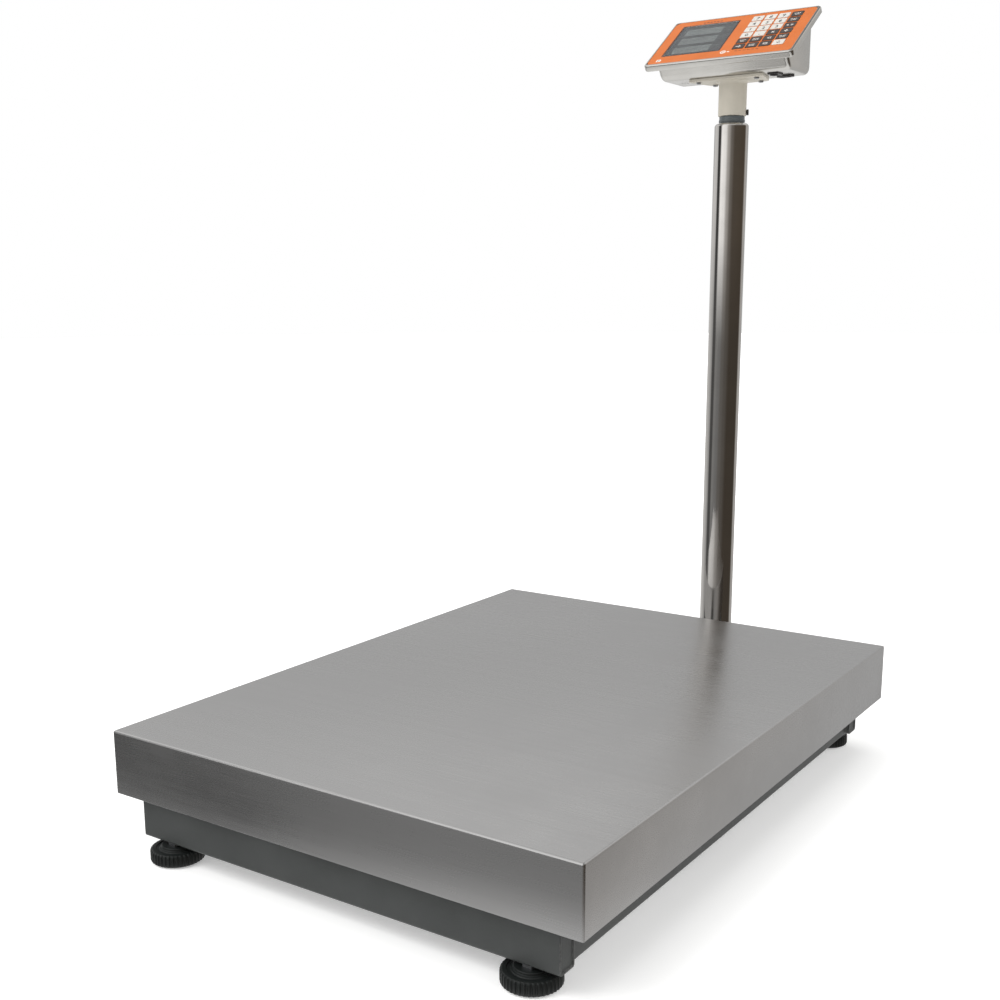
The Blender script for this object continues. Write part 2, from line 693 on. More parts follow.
def polished_tube(name, colour):
    """Mirror-polished stainless tube: drawing lines along it, buffing haze, a few finger marks"""
    material, tree, shader, stain, tone = stained(name, colour, 1.0, 0.06, 26.0)
    stretch = tree.nodes.new("ShaderNodeMapping")
    stretch.inputs["Scale"].default_value = (1.0, 1.0, 0.012)
    wire(tree, place_in(tree), (stretch, "Vector"))
    drawn = noise(tree, (stretch, 0), 900, 3, 0.6)
    wire(tree, tone, (shader, "Base Color"))
    haze = spread(tree, stain, 0, 1, 0.045, 0.10)
    fine = spread(tree, drawn, 0.35, 0.65, -0.01, 0.02)
    wire(tree, sums(tree, "ADD", haze, fine), (shader, "Roughness"))
    bump(tree, shader, drawn, 0.000003, 0.4)
    return material


polished_steel = polished_tube("polished_steel", (0.62, 0.60, 0.575))
pipe_low, pipe_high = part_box("column_pipe")
column_at = ((pipe_low.x + pipe_high.x) / 2, (pipe_low.y + pipe_high.y) / 2)
pipe_radius = (pipe_high.x - pipe_low.x) / 2
pipe_wall, roll = 0.0015, 0.00485
bush_low, bush_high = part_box("neck_bush")
mouth = pipe_radius - roll - 0.0013


def arc(centre, radius, start, stop, steps):
    """Points of an arc in (radius, height), from one angle to another in degrees"""
    return [(centre[0] + radius * math.cos(math.radians(start + (stop - start) * k / steps)),
             centre[1] + radius * math.sin(math.radians(start + (stop - start) * k / steps)))
            for k in range(steps + 1)]


shoulder = (pipe_radius - roll, pipe_high.z - roll)
outline = [(pipe_radius - pipe_wall, pipe_low.z), (pipe_radius, pipe_low.z)]
outline += arc(shoulder, roll, 0, 90, 10)
outline += [(mouth, pipe_high.z), (mouth, pipe_high.z - pipe_wall)]
outline += arc(shoulder, roll - pipe_wall, 90, 0, 6)
outline += [(pipe_radius - pipe_wall, pipe_low.z)]
pipe = wear(turned("column_tube", outline, 160, column_at), polished_steel)
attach(pipe, "base")
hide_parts("column_pipe")

# A weld ring where the socket stands on the bracket, and two grub screws that pinch the column
bracket_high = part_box("column_bracket")[1]
socket_radius = bracket_high.y - column_at[1]
ring_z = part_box("tray")[0].z - 0.0040
outline = [(socket_radius - 0.0008, ring_z - 0.0004)]
outline += arc((socket_radius - 0.0008, ring_z - 0.0004), 0.0030, 0, 90, 5)
outline += [(socket_radius - 0.0008, ring_z - 0.0004)]
weld_ring = wear(turned("socket_weld", outline, 96, column_at), frame_paint)
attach(weld_ring, "base")

grub_radius, grub_long = 0.0030, 0.0042
outline = profile(0, 0, [(0.8, -1.5), (1.5, -1.5), (1.5, 0), (2.6, 0)])
outline += [(grub_radius, -0.0004), (grub_radius, -grub_long)]
grub = turned("grub_screw", outline, 24)
screws = []
grub_z = (bracket_high.z + ring_z) / 2
for side in (-1, 1):
    out = Matrix.Rotation(side * math.pi / 2, 4, "Y")
    place = Matrix.Translation((column_at[0] + side * (socket_radius + 0.0006), column_at[1], grub_z))
    screws.append(copy_of(grub, "grub_screw", place @ out))
bpy.data.objects.remove(grub)
grub_screws = wear(join("socket_grub_screws", screws), zinc_steel)
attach(grub_screws, "base")

# ---- Bush ----
# A dark nylon bush pressed into the top of the column. Its collar stands 10 mm proud, and its
# spigot reaches up into the neck, with a groove for the point of the lock screw.

bush_plastic = moulded_plastic("bush_plastic", (0.075, 0.085, 0.088), 0.30, 1100.0)
neck_low, neck_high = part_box("neck")
lock_low, lock_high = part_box("lock_screw")
lock_z = (lock_low.z + lock_high.z) / 2
collar_radius, spigot_radius, bore = mouth - 0.0001, 0.015, 0.008
collar_top, groove_deep, groove_half = neck_low.z - 0.00005, 0.0014, 0.0035
inside = pipe_radius - pipe_wall
outline = [(bore, bush_low.z)] + profile(inside, bush_low.z, [(-0.8, 0), (-0.1, 1.0)])
outline += profile(inside, shoulder[1], [(-0.1, -0.4)]) + profile(collar_radius, shoulder[1], [(0, 0.6)])
outline += profile(collar_radius, pipe_high.z, [(0, 1.6), (0.6, 2.2), (0.6, 4.6), (0, 5.2)])
outline += profile(collar_radius, collar_top, [(0, -1.0), (-0.8, 0)])
outline += [(spigot_radius, collar_top), (spigot_radius, lock_z - groove_half),
            (spigot_radius - groove_deep, lock_z - groove_half),
            (spigot_radius - groove_deep, lock_z + groove_half), (spigot_radius, lock_z + groove_half)]
outline += profile(spigot_radius, bush_high.z, [(0, -1.0), (-1.0, 0)])
outline += [(bore, bush_high.z), (bore, bush_low.z)]
bush = wear(turned("column_bush", outline, 128, column_at), bush_plastic)
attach(bush, "base")
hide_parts("neck_bush")

# ---- Neck ----
# A cream ABS moulding: a sleeve that turns on the bush, flared into a flat flange that four screws
# hold under the head. A black thumb-sized screw in its side locks the swivel.

neck_plastic = moulded_plastic("neck_plastic", (0.42, 0.39, 0.33), 0.44, 1300.0, 1.12)
screw_black = plated_steel("screw_black", (0.10, 0.095, 0.09), 0.36)
wear(nodes["lock_screw"], screw_black)
flange_thick, flare = 0.004, 0.005
flange_low = neck_high.z - flange_thick
sleeve_radius, web = 0.0198, 0.005
sleeve_bore = spigot_radius + 0.0001
outline = [(sleeve_bore, neck_low.z)]
outline += profile(sleeve_radius, neck_low.z, [(-0.8, 0), (-0.2, 0.4), (0, 1.2)])
outline.append((sleeve_radius, flange_low - flare))
outline += arc((sleeve_radius + flare, flange_low - flare), flare, 180, 90, 8)[1:]
outline += [(sleeve_radius + flare, flange_low + 0.0015), (bore, flange_low + 0.0015),
            (bore, flange_low - web), (sleeve_bore, flange_low - web), (sleeve_bore, neck_low.z)]
sleeve = turned("neck_sleeve", outline, 128, column_at)
flange_front, flange_rear, rounding = (0.057, -0.0285), (0.044, 0.0255), 0.004
plate = box_piece("neck_flange", (-flange_front[0], column_at[1] + flange_front[1], flange_low),
                  (flange_front[0], column_at[1] + flange_rear[1], neck_high.z))
pick("VERT", lambda m, v: m.y > column_at[1])
bpy.ops.transform.resize(value=(flange_rear[0] / flange_front[0], 1, 1),
                         center_override=(0, column_at[1], flange_low))
round_off(rounding, 6, lambda m, e: runs_along(e, 2))
round_off(0.0008, 3, lambda m, e: m.z < flange_low + hair)
close_up(plate)
drill = turned("flange_drill", [(bore, flange_low - 0.01), (bore, neck_high.z + 0.01)], 64, column_at)
cut_away(plate, [drill])
neck = wear(join("neck_moulding", [sleeve, plate]), neck_plastic)
deselect()
neck.select_set(True)
bpy.context.view_layer.objects.active = neck
bpy.ops.object.shade_smooth_by_angle(angle=math.radians(35))
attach(neck, "head")
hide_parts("neck")

# ---- Head: back housing ----
# The back of the head is drawn from 1.2 mm stainless and belt-ground. Its underside carries the
# neck's flange, the switch, the inlet and the sounder's holes.

cover_steel = ground_stainless("cover_steel", (0.68, 0.665, 0.63), 0.22, 1.0, 2600.0, 22.0)
bezel_low, bezel_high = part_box("front_bezel")
slope = math.radians(35.5)
head_wide, head_tall, head_thick = bezel_high.x - bezel_low.x, 0.127, 0.010
out_of_panel = Vector((0, -math.sin(slope), math.cos(slope)))
up_panel = Vector((0, math.cos(slope), math.sin(slope)))
panel_at = (bezel_low + bezel_high) / 2 + out_of_panel * head_thick / 2
on_panel = Matrix.Translation(panel_at) @ Matrix.Rotation(slope, 4, "X")
case_low, case_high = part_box("rear_housing")
case_sheet, front_inset = 0.0012, 0.0135
front_at = panel_at - up_panel * (head_tall / 2 - front_inset) - out_of_panel * head_thick
front_foot = front_at - out_of_panel * (front_at.z - case_low.z) / math.cos(slope)
rear_top_z = panel_at.z + (case_high.y - panel_at.y) * math.tan(slope) - head_thick / math.cos(slope)
housing = box_piece("back_housing", (case_low.x, 0, 0), (case_high.x, 1, 1))
for y, z, target in ((0, 1, front_at), (0, 0, front_foot), (1, 0, Vector((0, case_high.y, case_low.z))),
                     (1, 1, Vector((0, case_high.y, rear_top_z)))):
    pick("VERT", lambda m, v: abs(m.y - y) < 0.001 and abs(m.z - z) < 0.001)
    bpy.ops.transform.translate(value=(0, target.y - y, target.z - z))
lower_edge = case_low.z + 0.0001
for near_y, radius in ((front_foot.y, 0.008), (case_high.y, 0.012)):
    round_off(radius, 8, lambda m, e: runs_along(e, 0) and m.z < lower_edge
              and abs(m.y - near_y) < 0.001)
lid = panel_at - out_of_panel * head_thick
round_off(0.0062, 6, lambda m, e: not runs_along(e, 0) and abs((m - lid).dot(out_of_panel)) > hair
     and len(e.link_faces) == 2 and abs(e.link_faces[0].normal.dot(e.link_faces[1].normal)) < 0.5)
pick("FACE", lambda m, f: abs((m - lid).dot(out_of_panel)) < 0.0002 and f.normal.dot(out_of_panel) > 0.9)
inset(case_sheet)
bpy.ops.mesh.delete(type="FACE")
pick("FACE", lambda m, f: f.normal.dot(out_of_panel) > 0.99
     and abs((m - lid).dot(out_of_panel)) < 0.0002)
bpy.ops.mesh.delete(type="FACE")
close_up(housing, 30)
thicken = housing.modifiers.new("thickness", "SOLIDIFY")
thicken.thickness, thicken.offset = case_sheet, -1
bpy.ops.object.modifier_apply(modifier=thicken.name)


def rounded_block(name, low, high, radius, steps=5):
    """A block with its four upright edges rounded"""
    block = box_piece(name, low, high)
    round_off(radius, steps, lambda m, e: runs_along(e, 2))
    return close_up(block)


def plan_block(name, node, inward, z0, z1, radius):
    """A rounded block as large in plan as a CAD node, drawn in"""
    low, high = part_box(node)
    return rounded_block(name, (low.x + inward, low.y + inward, z0),
                         (high.x - inward, high.y - inward, z1), radius)


under, over = case_low.z - 0.002, case_low.z + 0.004
cutters = [plan_block("switch_hole", "switch_body", 0.0010, under, over, 0.0010),
           plan_block("inlet_hole", "power_socket", 0.0020, under, over, 0.0045)]
sounder_at, hole_ring, hole_radius = -0.075, 0.0045, 0.0011
for turn in range(6):
    angle = turn * math.pi / 3
    spot = (sounder_at + hole_ring * math.cos(angle), column_at[1] + hole_ring * math.sin(angle))
    cutters.append(turned("sounder_hole", [(hole_radius, under), (hole_radius, over)], 20, spot))
cutters.append(turned("lead_hole", [(bore, under), (bore, over)], 48, column_at))
glass_low, glass_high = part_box("rear_display")
cutters.append(box_piece("rear_hole", (glass_low.x + 0.0031, case_high.y - 0.004, glass_low.z + 0.0031),
                         (glass_high.x - 0.0031, case_high.y + 0.002, glass_high.z - 0.0031)))
close_up(cutters[-1])
cut_away(housing, cutters)
wear(housing, cover_steel)
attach(housing, "head")
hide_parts("rear_housing")

# ---- Head: front cover ----
# Pressed stainless with a rounded rim that stands 1 mm round the printed overlay, and openings for
# the display window and for the tail of the keypad.

window_wide, window_tall = 0.0879, 0.0854
window_at = (-head_wide / 2 + 0.020 + 0.04375, 0.004)
key_field_at = (head_wide / 2 - 0.0584, 0.0059)
rim_round, rim_corner, rim_flat, rim_proud, rim_sheet = 0.0025, 0.0060, 0.0008, 0.0010, 0.0012
cover = box_piece("front_cover", (-head_wide / 2, -head_tall / 2, -head_thick),
                  (head_wide / 2, head_tall / 2, 0))
round_off(rim_corner, 10, lambda m, e: runs_along(e, 2))
round_off(rim_round, 6, lambda m, e: abs(m.z) < sliver or abs(m.z + head_thick) < sliver)
pick("FACE", lambda m, f: f.normal.z > 0.99 and abs(m.z) < sliver)
inset(rim_flat)
inset(0.00015, -0.00015)
draw_out(0, 0, 0.00015 - rim_proud)
close_up(cover, 30)


def at_panel(name, middle, size, z0, z1, radius):
    """A rounded block on the panel, before the panel is tilted into place"""
    return rounded_block(name, (middle[0] - size[0] / 2, middle[1] - size[1] / 2, z0),
                         (middle[0] + size[0] / 2, middle[1] + size[1] / 2, z1), radius)


def tilt_into_place(piece):
    """Moves a piece's mesh from the flat panel to the sloping one"""
    piece.data.transform(on_panel)
    return piece


cavity_size = (head_wide - 2 * rim_sheet, head_tall - 2 * rim_sheet)
cut_away(cover, [at_panel("cavity", (0, 0), cavity_size, rim_sheet - head_thick,
                          -rim_proud - rim_sheet, rim_corner - rim_sheet)])
back_up = (case_high.y - lid.y) / math.cos(slope)
back_down = front_inset - head_tall / 2
back_size = (case_high.x - case_low.x - 2 * case_sheet, back_up - back_down - 2 * case_sheet)
cut_away(cover, [at_panel("back_opening", (0, (back_up + back_down) / 2), back_size,
                          -head_thick - 0.001, rim_sheet - head_thick + 0.0005, 0.003)])
window_size, keypad_size = (window_wide, window_tall), (0.0786, 0.0948)
cut_low, cut_high, cut_corner = -0.005, 0.002, 0.002
cut_away(cover, [at_panel("window_cut", window_at, window_size, cut_low, cut_high, cut_corner),
                 at_panel("keypad_cut", key_field_at, keypad_size, cut_low, cut_high, cut_corner)])
wear(tilt_into_place(cover), cover_steel)
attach(cover, "head")
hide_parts("front_bezel")

# ---- Head: printed overlay ----
# A reverse-printed polyester sheet, orange with thin darker rules, stuck into the cover's recess.


def printed_film(name, colour, roughness):
    """Polyester film with a fine velvet texture over flat ink, lightly scuffed"""
    material, tree, shader, stain, tone = stained(name, colour, 0.0, roughness, 30.0, 1.03, 0.93)
    edges = use_group(tree, "edge_wear", Width=0.0003, Amount=0.4)
    tone = blend_colour(tree, (edges, "Mask"), tone, tuple(min(1, c + 0.12) for c in colour))
    wire(tree, tone, (shader, "Base Color"))
    roughen(tree, shader, stain, roughness, roughness + 0.12)
    bump(tree, shader, noise(tree, place_in(tree), 2600, 2), 0.00002, 0.35, (edges, "Rounded"))
    return material


overlay_orange = printed_film("overlay_orange", (0.55, 0.125, 0.008), 0.36)
dark_ink = printed_film("dark_ink", (0.030, 0.022, 0.020), 0.4)
pale_ink = printed_film("pale_ink", (0.72, 0.70, 0.66), 0.42)
film_top = -0.0005
wear(nodes["overlay"], overlay_orange)
ink_thick = 0.00004


def rule(low, high):
    """A printed bar on the film, as a thin block"""
    return close_up(box_piece("rule", (*low, film_top - sliver), (*high, film_top + ink_thick)))


def frame_rule(middle, size, line):
    """A printed frame: four bars round a middle"""
    (x, y), (w, h) = middle, (size[0] / 2, size[1] / 2)
    return [rule((x - w, y - h), (x + w, y - h + line)), rule((x - w, y + h - line), (x + w, y + h)),
            rule((x - w, y - h + line), (x - w + line, y + h - line)),
            rule((x + w - line, y - h + line), (x + w, y + h - line))]


def printed_ring(name, inner, outer, low, high, sides, centre):
    """A printed ring on the film"""
    outline = [(inner, low), (outer, low), (outer, high), (inner, high), (inner, low)]
    return turned(name, outline, sides, centre)


def bar_row(name, start, pitch, long, low, high):
    """Six short printed bars in a row, in place of a line of print"""
    bars = [rule((start + pitch * k, low), (start + pitch * k + long, high)) for k in range(6)]
    return wear(tilt_into_place(join(name, bars)), dark_ink)


border = frame_rule(window_at, (window_wide + 0.0022, window_tall + 0.0022), 0.0010)
wear(tilt_into_place(join("window_border", border)), dark_ink)
badge_at, seal_at = (0.005, -0.0455), (-0.092, -0.0508)
film_foot, print_top, mark_top = film_top - sliver, film_top + ink_thick * 2, film_top + ink_thick * 3
badge = printed_ring("round_badge", 0.0026, 0.0042, film_foot, print_top, 40, badge_at)
dot = turned("badge_dot", [(0.0014, film_foot), (0.0014, print_top)], 24, badge_at)
dash = rule((0.0108, -0.0465), (0.0142, -0.0445))
badge = wear(tilt_into_place(join("round_badge", [badge, dot, dash])), pale_ink)
seal = at_panel("quality_seal", seal_at, (0.0070, 0.0060), film_foot, print_top, 0.0008)
seal = wear(tilt_into_place(seal), pale_ink)
seal_mark = printed_ring("seal_mark", 0.0011, 0.0019, film_top, mark_top, 28, seal_at)
seal_mark = wear(tilt_into_place(seal_mark), dark_ink)
heading = bar_row("heading_bars", -0.0625, 0.0052, 0.0036, 0.0512, 0.0530)
foot_rule = bar_row("keypad_bars", 0.022, 0.0062, 0.0042, -0.0462, -0.0452)
for piece in (bpy.data.objects["window_border"], badge, seal, seal_mark, heading, foot_rule):
    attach(piece, "head")

# ---- Keys ----
# Twenty-four snap-dome keys, printed and embossed in one film. The figures' keys are white with dark
# figures and the others dark with pale marks; every one travels half a millimetre.

key_white = printed_film("key_white", (0.58, 0.56, 0.52), 0.40)
key_dark = printed_film("key_dark", (0.042, 0.032, 0.029), 0.38)
key_rows, key_columns = 6, 4
pitch_x, pitch_y, key_wide, key_tall = 0.0194, 0.0158, 0.0166, 0.0132
key_top, key_foot, dish = 0.0001, -0.0019, 0.00022
blank = at_panel("key", (0, 0), (key_wide, key_tall), key_foot, key_top, 0.0012)
bpy.ops.object.mode_set(mode="EDIT")
pick("FACE", lambda m, f: f.normal.z > 0.9)
inset(0.0003)
round_off(0.0002, 3, lambda m, e: m.z > key_top - sliver
          and any(abs(f.normal.z) < 0.1 for f in e.link_faces))
pick("FACE", lambda m, f: f.normal.z > 0.99 and f.calc_area() > 0.0001)
inset(0.0003)
inset(0.0004, -dish)
close_up(blank, 50)
mark_low, mark_high = key_top - dish - 0.00002, key_top - dish + 0.00006


def figure(sign):
    """A printed figure, made a thin mesh"""
    deselect()
    bpy.ops.object.text_add(location=(0, 0, 0))
    letter = bpy.context.object
    letter.data.body = sign
    letter.data.size = 0.0098
    letter.data.align_x, letter.data.align_y = "CENTER", "CENTER"
    letter.data.offset = 0.00012
    letter.data.extrude = (mark_high - mark_low) / 2
    letter.data.resolution_u = 3
    bpy.ops.object.convert(target="MESH")
    letter = bpy.context.object
    letter.data.transform(Matrix.Translation((0, -0.0004, (mark_high + mark_low) / 2)))
    bpy.ops.object.mode_set(mode="EDIT")
    bpy.ops.mesh.select_all(action="SELECT")
    bpy.ops.mesh.remove_doubles(threshold=0.000002)
    return close_up(letter)


def flat_place(x, y, turn):
    """A place on the flat panel, turned by an angle in degrees"""
    return Matrix.Translation((x, y, 0)) @ Matrix.Rotation(math.radians(turn), 4, "Z")


def mark(bars):
    """A printed mark of thin bars: (x, y, wide, tall, degrees) in millimetres"""
    pieces = []
    for x, y, wide, tall, turn in bars:
        bar = close_up(box_piece("bar", (-wide / 2000, -tall / 2000, mark_low),
                                 (wide / 2000, tall / 2000, mark_high)))
        bar.data.transform(flat_place(x / 1000, y / 1000, turn))
        pieces.append(bar)
    return join("mark", pieces)


def two_rows(top, bottom):
    """Two short printed lines of dashes, each as (start, length) pairs in millimetres"""
    return [(start + long / 2, y, long, 1.1, 0) for y, line in ((1.5, top), (-1.7, bottom))
            for start, long in line]


figures = {(1, 1): "7", (1, 2): "8", (1, 3): "9", (2, 1): "4", (2, 2): "5", (2, 3): "6",
           (3, 1): "1", (3, 2): "2", (3, 3): "3", (4, 1): "0"}
marks = {
    (1, 4): two_rows([(-5, 2.4), (-1.8, 3.2), (2.2, 2.6)], [(-3.4, 3), (0.4, 3)]),
    (2, 4): two_rows([(-5, 3.6), (-0.6, 2.2), (2.4, 2.2)], [(-4.2, 2.2), (-1.2, 4.8)]),
    (3, 4): [(-3.2, 0, 3.4, 1.1, 0), (-3.2, 0, 1.1, 3.4, 0), (2.8, 0.9, 3.6, 0.9, 0),
             (2.8, -0.9, 3.6, 0.9, 0)],
    (4, 2): [(0, -2.4, 1.5, 1.5, 0)],
    (4, 3): [(0, 0, 5.2, 1.2, 45), (0, 0, 5.2, 1.2, -45)],
    (4, 4): [(0, 0, 5.6, 1.2, 0), (0, 0, 1.2, 5.6, 0)],
    (5, 1): two_rows([(-4.6, 2.6), (-1.2, 2.2), (1.8, 2.8)], [(-3.0, 6)]),
    (5, 2): two_rows([(-4.2, 3.4), (0.2, 4)], [(-4.4, 2), (-1.6, 3), (2.2, 2.2)]),
    (5, 3): [(-0.9, 0.9, 3.8, 1.1, 45), (-0.9, -0.9, 3.8, 1.1, -45), (2.4, 0, 1.1, 5.2, 0)],
    (5, 4): two_rows([(-5, 4.4), (0.4, 4.4)], [(-3.6, 2.2), (-0.6, 2), (2.2, 1.6)]),
    (6, 1): [(-2.0, 0, 5.0, 1.2, 0), (1.4, 1.4, 3.6, 1.1, -45), (1.4, -1.4, 3.6, 1.1, 45)],
    (6, 2): two_rows([(-4.4, 2.2), (-1.4, 5.6)], [(-4.4, 3.6), (0, 4)]),
    (6, 3): [(0, 1.6, 6.4, 1.1, 0), (0, -1.6, 6.4, 1.1, 0), (-2.7, 0, 1.1, 4.2, 0),
             (2.7, 0, 1.1, 4.2, 0)],
    (6, 4): [(0, 1.9, 1.1, 2.8, 0), (-1.9, -0.6, 1.1, 2.6, 20), (1.9, -0.6, 1.1, 2.6, -20),
             (0, -2.2, 3.6, 1.1, 0)]}
white_keys = [(r, c) for r in (1, 2, 3) for c in (1, 2, 3)] + [(4, 1), (4, 2), (6, 4)]
for row in range(1, key_rows + 1):
    for column in range(1, key_columns + 1):
        name = f"key_{row}_{column}"
        white = (row, column) in white_keys
        shift = Matrix.Translation((key_field_at[0] + (column - (key_columns + 1) / 2) * pitch_x,
                                    key_field_at[1] - (row - (key_rows + 1) / 2) * pitch_y, 0))
        cap = wear(copy_of(blank, name + "_cap", shift), key_white if white else key_dark)
        sign = figure(figures[row, column]) if (row, column) in figures else mark(marks[row, column])
        sign.data.transform(shift)
        wear(sign, dark_ink if white else pale_ink)
        cap = tilt_into_place(join(name + "_cap", [cap, sign]))
        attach(cap, name)
        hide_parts(name)
bpy.data.objects.remove(blank)

# ---- Display ----
# Three liquid-crystal panels, one each for weight, unit price and total, clipped behind a printed
# mask. A lightly smoked acrylic window is let into the cover over them.


def crystal_glass(name, colour):
    """The grey-green reflector of an unlit liquid crystal, with its faint column lines"""
    material, tree, shader, stain, tone = stained(name, colour, 0.0, 0.24, 70.0, 1.0, 0.88)
    wire(tree, tone, (shader, "Base Color"))
    roughen(tree, shader, stain, 0.20, 0.30)
    bump(tree, shader, noise(tree, place_in(tree), 3000, 2), 0.00001, 0.4)
    return material


def smoked_acrylic(name, tint):
    """Clear acrylic with a light smoke tint, a few hairline scratches and finger haze"""
    material, tree, shader = finish(name, tint, 0.0, 0.03)
    shader.inputs["Transmission Weight"].default_value = 1.0
    shader.inputs["IOR"].default_value = 1.49
    dirt = use_group(tree, "grime", Scale=36.0)
    roughen(tree, shader, (dirt, "Stain"), 0.01, 0.07)
    wire(tree, blend_colour(tree, (dirt, "Speck"), tint, times(tint, 0.8)), (shader, "Base Color"))
    bump(tree, shader, noise(tree, place_in(tree), 60, 1), 0.00002, 0.2)
    return material


def green_board(name):
    """Green solder mask over glass cloth, with pale print and tinned spots"""
    material, tree, shader = finish(name, (0.018, 0.085, 0.038), 0.0, 0.32)
    place = place_in(tree)
    dirt = use_group(tree, "grime", Scale=40.0)
    weave = noise(tree, place, 1800, 1)
    spots = spread(tree, noise(tree, place, 420, 0), 0.66, 0.70, 0, 1)
    tone = blend_colour(tree, weave, (0.014, 0.070, 0.030), (0.022, 0.105, 0.046))
    tone = blend_colour(tree, (dirt, "Stain"), tone, (0.030, 0.075, 0.040))
    wire(tree, blend_colour(tree, spots, tone, (0.55, 0.54, 0.50)), (shader, "Base Color"))
    roughen(tree, shader, weave, 0.26, 0.42)
    bump(tree, shader, weave, 0.00003, 0.4)
    return material


lcd_glass = crystal_glass("lcd_glass", (0.245, 0.275, 0.255))
ghost_ink = crystal_glass("ghost_segments", (0.185, 0.21, 0.195))
mask_ink = printed_film("mask_ink", (0.018, 0.020, 0.023), 0.5)
window_lens = smoked_acrylic("window_lens", (0.80, 0.82, 0.83))
lens_top, lens_foot = -0.0005, -0.0020
lens_size = (0.0875, 0.0850)
pane = at_panel("display_pane", window_at, lens_size, lens_foot, lens_top, 0.0018)
bpy.ops.object.mode_set(mode="EDIT")
round_off(0.0003, 2, lambda m, e: m.z > lens_top - sliver)
wear(tilt_into_place(close_up(pane)), window_lens)
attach(pane, "head")
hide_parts("display_window")

panel_middle_x, panel_wide, panel_tall, panel_pitch = window_at[0] - 0.00575, 0.0600, 0.0205, 0.0256
panel_ys = [window_at[1] + k * panel_pitch for k in (1, 0, -1)]
board_size, mask_size, board_corner, crystal_corner = (0.0865, 0.0840), (0.0862, 0.0837), 0.0015, 0.0004
board_low, crystal_low, crystal_high, mask_top = -0.0090, -0.0074, -0.0034, -0.0032
board = at_panel("display_board", window_at, board_size, board_low, crystal_low, board_corner)
crystals = [at_panel("crystal", (panel_middle_x, y), (panel_wide, panel_tall), crystal_low, crystal_high,
                     crystal_corner) for y in panel_ys]
mask = at_panel("display_mask", window_at, mask_size, crystal_high, mask_top, board_corner)
seen_size = (panel_wide - 0.0024, panel_tall - 0.0020)
cut_away(mask, [at_panel("mask_cut", (panel_middle_x, y), seen_size, -0.004, -0.003, 0.0005)
                for y in panel_ys])

# One bar of a figure, copied into seven-bar figures
bar_long, bar_thick, lean = 0.0052, 0.0011, 0.12
ghost_low, ghost_high = crystal_high, -0.00337
figure_wide, figure_tall, figure_pitch, figure_count = 0.0060, 0.0122, 0.0093, 6
segment = at_panel("segment", (0, 0), (bar_long, bar_thick), ghost_low, ghost_high, bar_thick * 0.45)
level = [(0, figure_tall / 2, 0), (0, 0, 0), (0, -figure_tall / 2, 0)]
upright = [(x * figure_wide / 2, y * figure_tall / 4, 90) for x in (-1, 1) for y in (-1, 1)]
segments = []
for y in panel_ys:
    for k in range(figure_count):
        middle_x = panel_middle_x + (k - (figure_count - 1) / 2) * figure_pitch
        for dx, dy, turn in level + upright:
            place = flat_place(middle_x + dx + lean * dy, y + dy, turn)
            segments.append(copy_of(segment, "segment", place))
bpy.data.objects.remove(segment)
ghosts = wear(tilt_into_place(join("ghost_segments", segments)), ghost_ink)
labels, label_half, label_top = [], 0.0005, -0.00315
start = panel_middle_x + panel_wide / 2 + 0.0022
for y in panel_ys:
    for line, run in ((0.0050, 0.0105), (0.0012, 0.0075), (-0.0036, 0.0090)):
        label = box_piece("label", (start, y + line - label_half, mask_top),
                          (start + run, y + line + label_half, label_top))
        labels.append(close_up(label))
labels = wear(tilt_into_place(join("display_labels", labels)), ghost_ink)
crystals = wear(tilt_into_place(join("display_crystals", crystals)), lcd_glass)
wear(tilt_into_place(mask), mask_ink)
circuit_board = green_board("circuit_board")
wear(tilt_into_place(board), circuit_board)
for piece, slot in ((crystals, "lcd_glass"), (ghosts, "lcd_glass"), (labels, "lcd_glass"),
                    (mask, "window_lens"), (board, "circuit_board")):
    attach(piece, "head")
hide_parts("front_lcd")

# ---- Head: inside and underside ----
# Behind the cover sit the keypad's circuit sheet, the main board and a sealed lead-acid battery. The
# switch and the mains inlet come out through the underside, and the customer's display at the back.

battery_wrap = moulded_plastic("battery_wrap", (0.028, 0.045, 0.095), 0.42, 900.0, 0.5)
display_plastic = moulded_plastic("display_plastic", (0.016, 0.015, 0.016), 0.30, 1400.0, 0.4)
switch_plastic = moulded_plastic("switch_plastic", (0.020, 0.018, 0.018), 0.34, 1200.0, 0.6)
for name in ("keypad_board", "main_board"):
    wear(nodes[name], circuit_board)
wear(nodes["battery"], battery_wrap)
for name in ("rocker", "switch_body", "power_socket"):
    wear(nodes[name], switch_plastic)

# The customer's display: a frame round a smoked lens, with a dark backing behind it
back_y = case_high.y
glass_middle = (glass_low + glass_high) / 2
frame_half = (glass_high - glass_low) / 2
inner = 0.0062


def back_block(name, half_wide, half_tall, y0, y1, radius):
    """A block in the back wall, rounded at its four corners"""
    block = box_piece(name, (glass_middle.x - half_wide, y0, glass_middle.z - half_tall),
                      (glass_middle.x + half_wide, y1, glass_middle.z + half_tall))
    round_off(radius, 5, lambda m, e: runs_along(e, 1))
    return block


